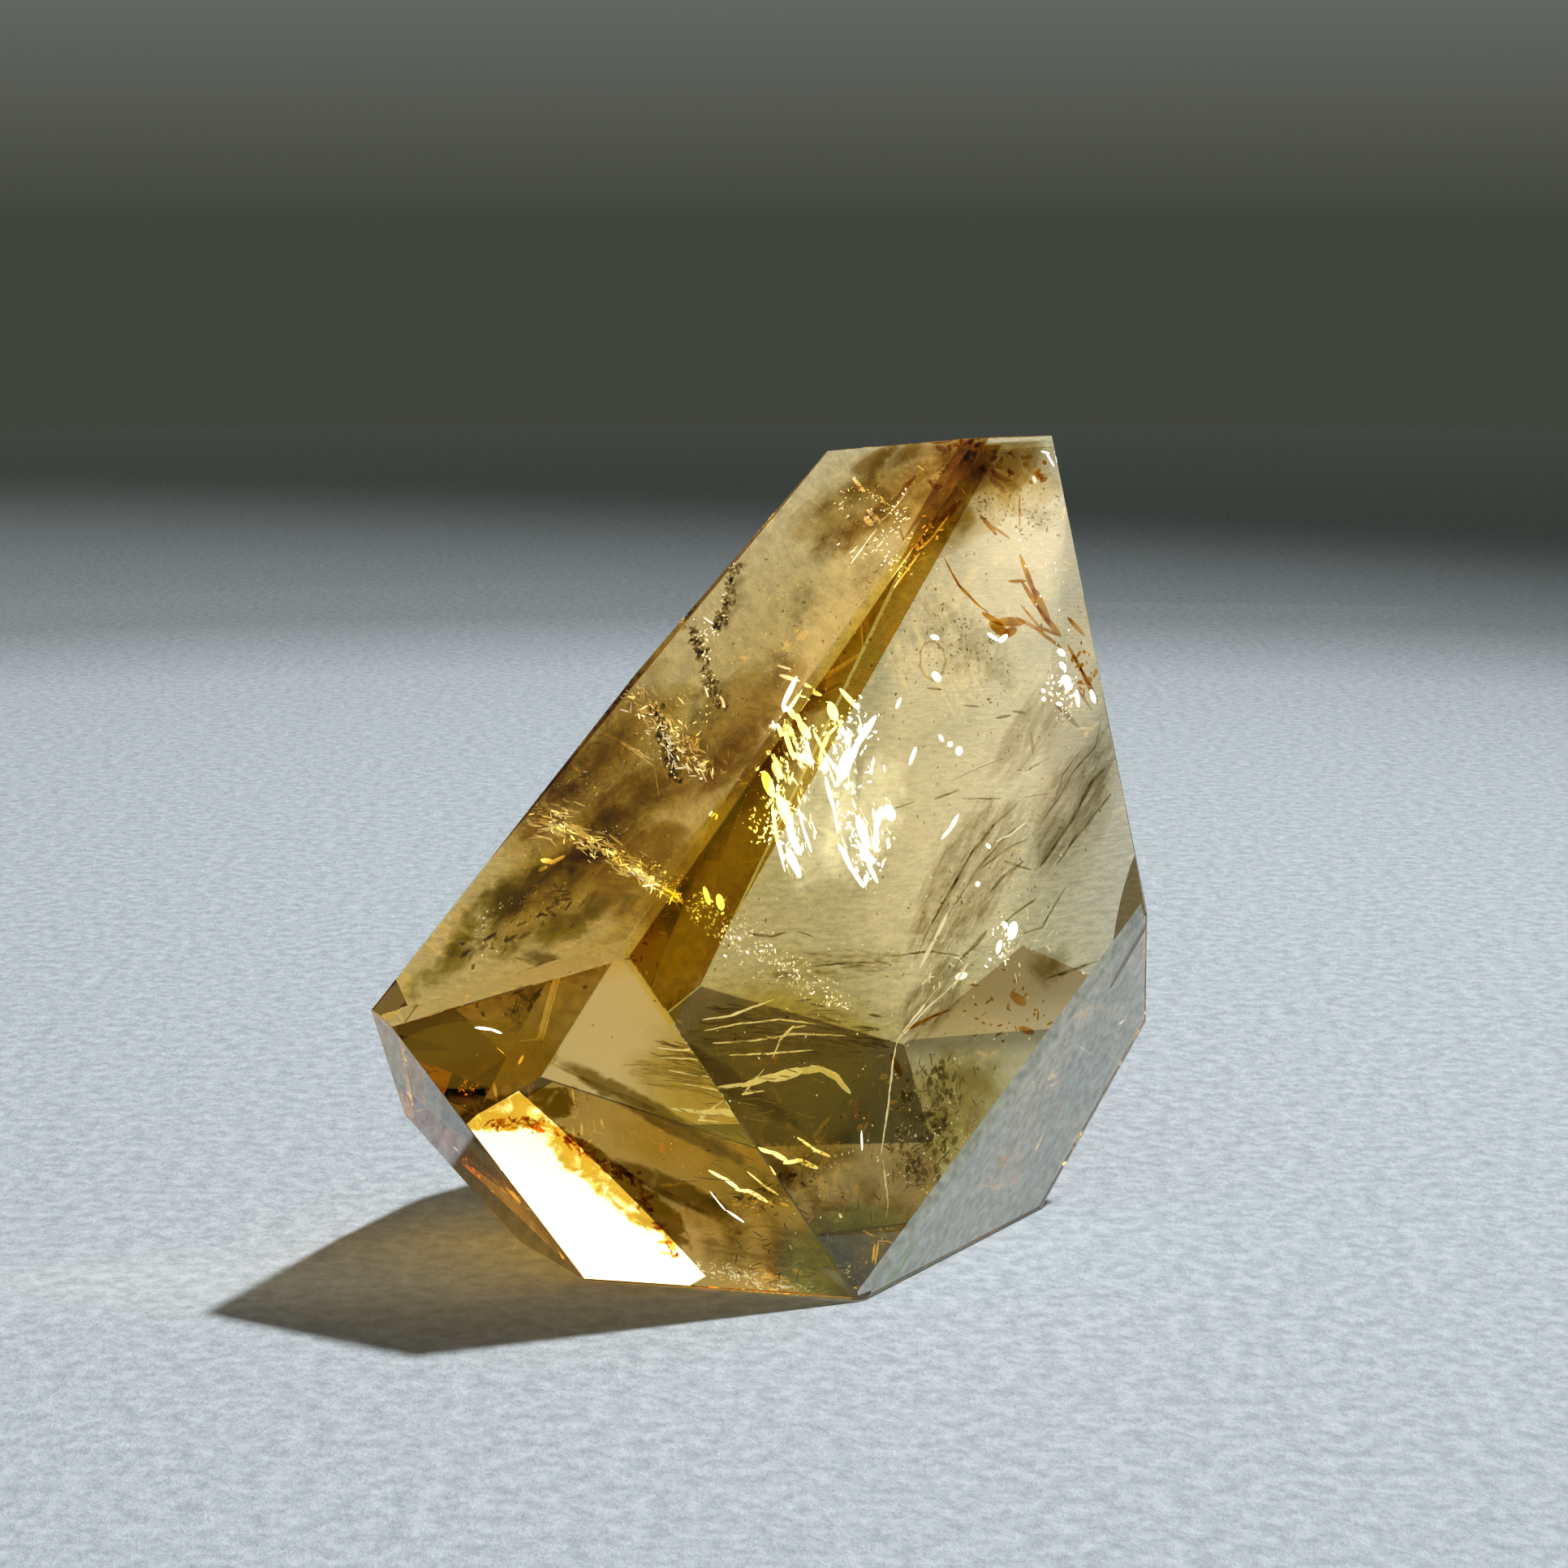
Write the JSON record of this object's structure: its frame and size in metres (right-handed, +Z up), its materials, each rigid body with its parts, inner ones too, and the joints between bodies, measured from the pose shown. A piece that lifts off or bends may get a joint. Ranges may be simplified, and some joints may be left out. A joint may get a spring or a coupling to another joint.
{
  "type": "citrine freeform",
  "caption": "Clear golden citrine stone, hand-cut and polished with flat faces into a leaning spearhead that stands on a small flat sole, with veils and rust threads inside.",
  "frame": {"origin": "middle of the bounding box, on the plane of the sole the stone stands on", "axes": "+Z up, the tall window of the stone looks toward -Y and the long shoulder slopes down toward -X"},
  "size_m": [0.052, 0.0384, 0.0551],
  "materials": {
    "citrine": "clear golden quartz, hand polished"
  },
  "bodies": {
    "root": {"citrine": "citrine"}
  },
  "joints": []
}
